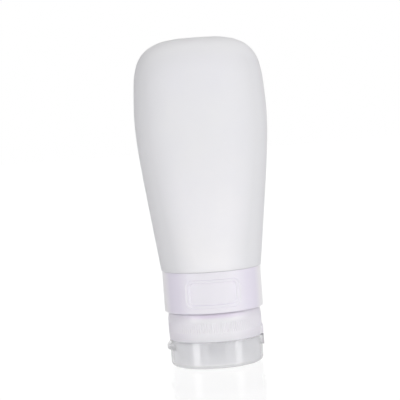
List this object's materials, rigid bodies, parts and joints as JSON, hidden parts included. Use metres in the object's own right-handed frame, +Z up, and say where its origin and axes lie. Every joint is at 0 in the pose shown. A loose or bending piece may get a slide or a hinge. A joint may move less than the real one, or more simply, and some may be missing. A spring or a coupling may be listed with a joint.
{
  "type": "travel silicone bottle",
  "caption": "Squeezable travel bottle of soft silicone with a turning label-window collar and a screw cap with a flip lid, standing on its lid.",
  "frame": {"origin": "centre of the closed lid's outer face, which the bottle stands on", "axes": "+Z up from the lid through the cap, neck and body; -Y towards the label window; +X towards the lid's hinge, -X towards its thumb lip"},
  "size_m": [0.053, 0.0406, 0.1301],
  "materials": {
    "silicone": "matt translucent silicone",
    "natural_plastic": "natural milky polypropylene",
    "lilac_plastic": "satin lilac",
    "clear_plastic": "clear, polished",
    "seal_rubber": "matt",
    "frosted_plastic": "frosted translucent",
    "valve_silicone": "matt translucent silicone",
    "lid_plastic": "clear, polished"
  },
  "bodies": {
    "bottle": {"silicone_body": "silicone", "neck_insert": "natural_plastic", "label_ring": "lilac_plastic"},
    "collar": {"window_collar": "clear_plastic"},
    "gasket": {"seal_gasket": "seal_rubber"},
    "cap": {"cap_base": "frosted_plastic", "flow_valve": "valve_silicone", "valve_retainer": "natural_plastic", "hinge_web": "lid_plastic"},
    "lid": {"flip_lid": "lid_plastic"}
  },
  "joints": [
    {"name": "collar_turn", "type": "hinge", "parent": "bottle", "child": "collar", "pos_m": [0, 0, 0.0224], "axis": [0, 0, 1], "continuous": true},
    {"name": "cap_travel", "type": "slide", "parent": "bottle", "child": "gasket", "axis": [0, 0, -1], "range_m": [0, 0.0091]},
    {"name": "cap_turn", "type": "hinge", "parent": "gasket", "child": "cap", "pos_m": [0, 0, 0.0123], "axis": [0, 0, -1], "range_deg": [0, 810]},
    {"name": "lid_flip", "type": "hinge", "parent": "cap", "child": "lid", "pos_m": [0.019, 0, 0.0107], "axis": [0, -1, 0], "range_deg": [0, 130]}
  ],
  "couplings": [
    {"joint": "cap_travel", "follows": "cap_turn", "m_per_rad": 0.00063662}
  ]
}
